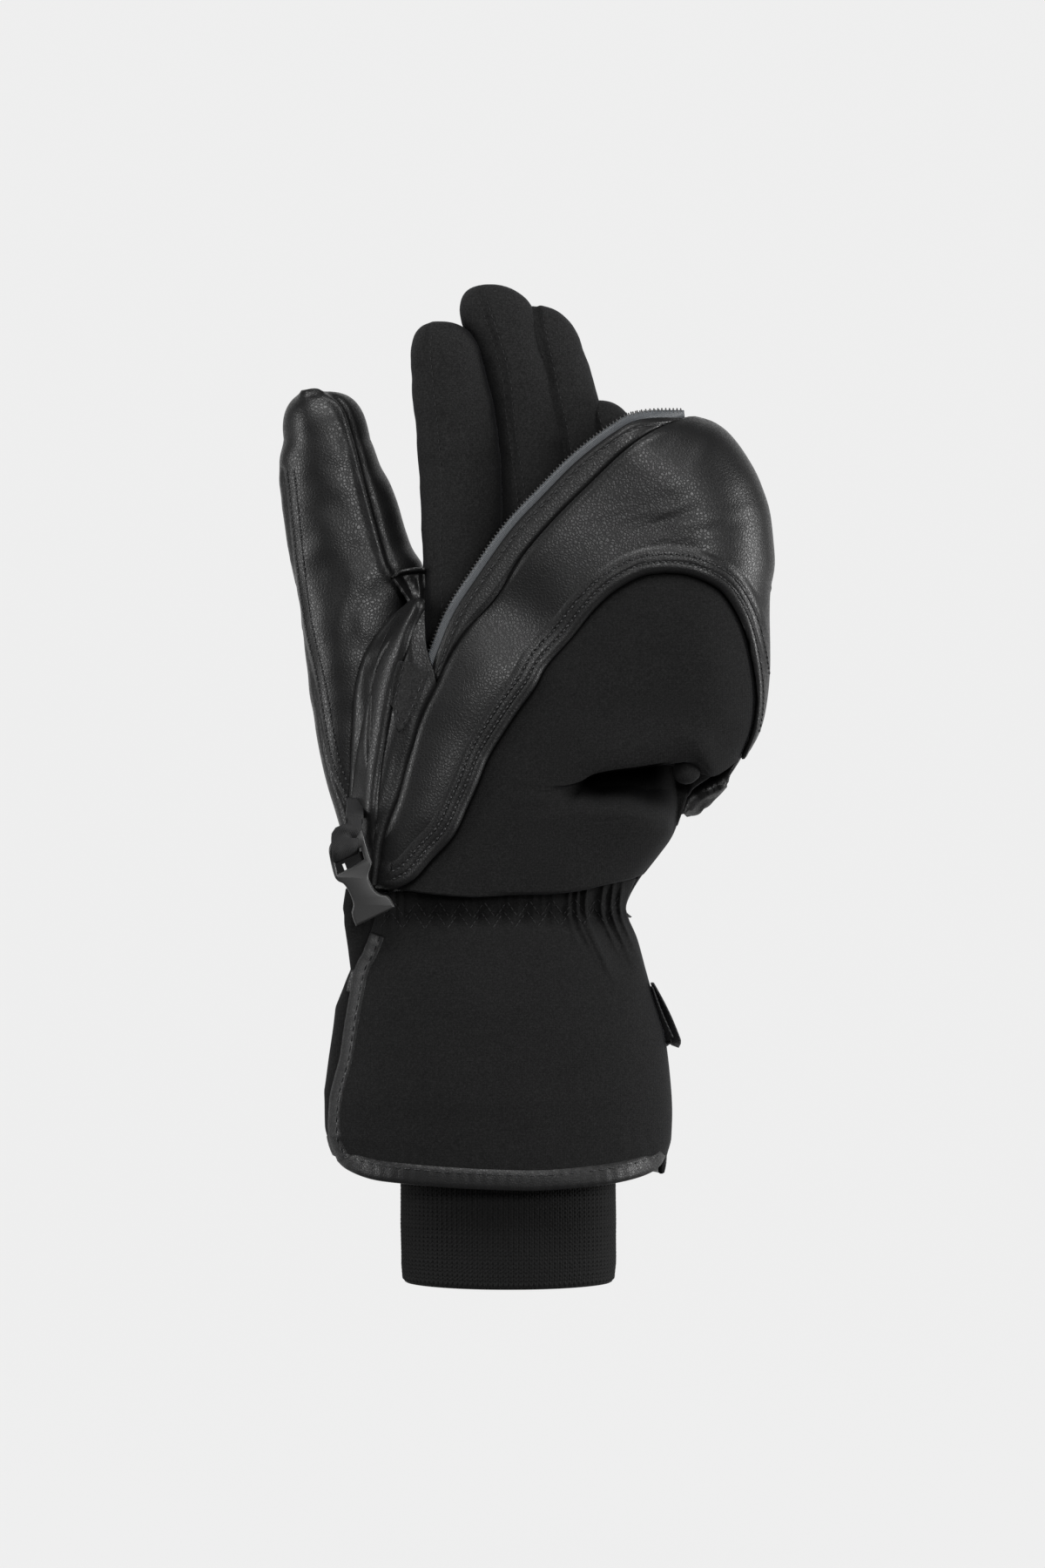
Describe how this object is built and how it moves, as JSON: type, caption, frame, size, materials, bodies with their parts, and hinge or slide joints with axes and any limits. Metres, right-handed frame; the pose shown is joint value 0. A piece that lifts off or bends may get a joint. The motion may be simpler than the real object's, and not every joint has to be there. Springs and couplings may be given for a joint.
{
  "type": "convertible ski glove",
  "caption": "Right-hand leather and softshell ski glove with a zip-off mitten hood peeled open, finger glove inside, gauntlet and knitted cuff.",
  "frame": {"origin": "centre of the knitted cuff's mouth, where the hand goes in", "axes": "+Z from the wrist to the fingertips, +X across the hand away from the thumb, +Y towards the palm"},
  "size_m": [0.1594, 0.0653, 0.3212],
  "materials": {
    "knit": "black double-layer rib knit, matt",
    "softshell": "black woven softshell, matt",
    "finger_cloth": "black stretch softshell, matt",
    "leather": "black goat leather, fine grain, satin",
    "leather_binding": "black leather binding, satin",
    "fleece": "dark grey brushed fleece",
    "membrane": "thin pale laminated film on knit",
    "elastic": "black woven elastic",
    "zip_tape": "grey coated zip tape, slight sheen",
    "zip_coil": "dark grey coil",
    "zip_metal": "black lacquered die-cast metal",
    "webbing": "black woven webbing",
    "clip_plastic": "black moulded plastic, fine matt",
    "ribbon": "black woven ribbon"
  },
  "bodies": {
    "hand": {"knit_cuff": "knit", "gauntlet_back": "softshell", "gauntlet_palm": "softshell", "hem_binding_back": "leather_binding", "hem_binding_palm": "leather_binding", "slit_binding_back": "leather_binding", "slit_binding_palm": "leather_binding", "wrist_elastic": "elastic", "back_panel": "softshell", "side_leather": "leather", "palm_leather": "leather", "palm_patch": "leather", "zip_facing": "leather", "thumb_base": "leather", "crotch_fold": "leather", "side_tab": "leather", "inner_hand": "finger_cloth", "membrane": "membrane", "hand_lining": "fleece", "stall_bases": "finger_cloth", "stall_linings": "fleece", "web_anchor": "webbing"},
    "hood": {"hood_leather": "leather", "hood_panel": "softshell", "hood_palm": "leather", "hood_lining": "fleece", "zip_garage": "softshell", "zip_tape_back": "zip_tape", "zip_coil_back": "zip_coil", "zip_tape_palm": "zip_tape", "zip_coil_palm": "zip_coil", "zip_stop": "zip_coil"},
    "slider": {"zip_slider": "zip_metal"},
    "puller": {"zip_puller": "zip_metal"},
    "index_end": {"index_tip": "finger_cloth", "index_lining": "fleece"},
    "middle_end": {"middle_tip": "finger_cloth", "middle_lining": "fleece"},
    "ring_end": {"ring_tip": "finger_cloth", "ring_lining": "fleece"},
    "little_end": {"little_tip": "finger_cloth", "little_lining": "fleece"},
    "thumb_end": {"thumb_tip": "leather", "thumb_lining": "fleece"},
    "loop": {"web_loop": "webbing"},
    "socket": {"clip_socket": "clip_plastic"},
    "tab": {"pull_tab": "ribbon"}
  },
  "joints": [
    {"name": "hood_swing", "type": "hinge", "parent": "hand", "child": "hood", "pos_m": [-0.0734, 0, 0.1775], "axis": [0, 1, 0], "range_deg": [-30, 0]},
    {"name": "slider_run", "type": "slide", "parent": "hood", "child": "slider", "axis": [0.7722, -0.1994, -0.6033], "range_m": [0, 0.01]},
    {"name": "puller_flip", "type": "hinge", "parent": "slider", "child": "puller", "pos_m": [0.06004, 0.02453, 0.26684], "axis": [0.6157, 0, 0.788], "range_deg": [0, 100]},
    {"name": "index_bend", "type": "hinge", "parent": "hand", "child": "index_end", "pos_m": [-0.01778, 0, 0.256], "axis": [-1, 0, 0], "range_deg": [0, 60]},
    {"name": "middle_bend", "type": "hinge", "parent": "hand", "child": "middle_end", "pos_m": [0.00238, 0, 0.271], "axis": [-1, 0, 0], "range_deg": [0, 60]},
    {"name": "ring_bend", "type": "hinge", "parent": "hand", "child": "ring_end", "pos_m": [0.02097, 0.00085, 0.277], "axis": [-1, 0, 0], "range_deg": [0, 60]},
    {"name": "little_bend", "type": "hinge", "parent": "hand", "child": "little_end", "pos_m": [0.03997, 0.0013, 0.252], "axis": [-1, 0, 0], "range_deg": [0, 15]},
    {"name": "thumb_bend", "type": "hinge", "parent": "hand", "child": "thumb_end", "pos_m": [-0.0535, 0.009, 0.245], "axis": [-1, 0, 0], "range_deg": [0, 45]},
    {"name": "loop_swing", "type": "hinge", "parent": "hand", "child": "loop", "pos_m": [-0.05359, -0.0205, 0.1506], "axis": [-0.9336, 0, -0.3584], "range_deg": [0, 80]},
    {"name": "socket_swing", "type": "hinge", "parent": "loop", "child": "socket", "pos_m": [-0.0509, -0.0205, 0.1436], "axis": [-0.9336, 0, -0.3584], "range_deg": [0, 60]},
    {"name": "tab_swing", "type": "hinge", "parent": "hand", "child": "tab", "pos_m": [0.0476, 0, 0.0965], "axis": [0, -1, 0], "range_deg": [0, 60]}
  ]
}
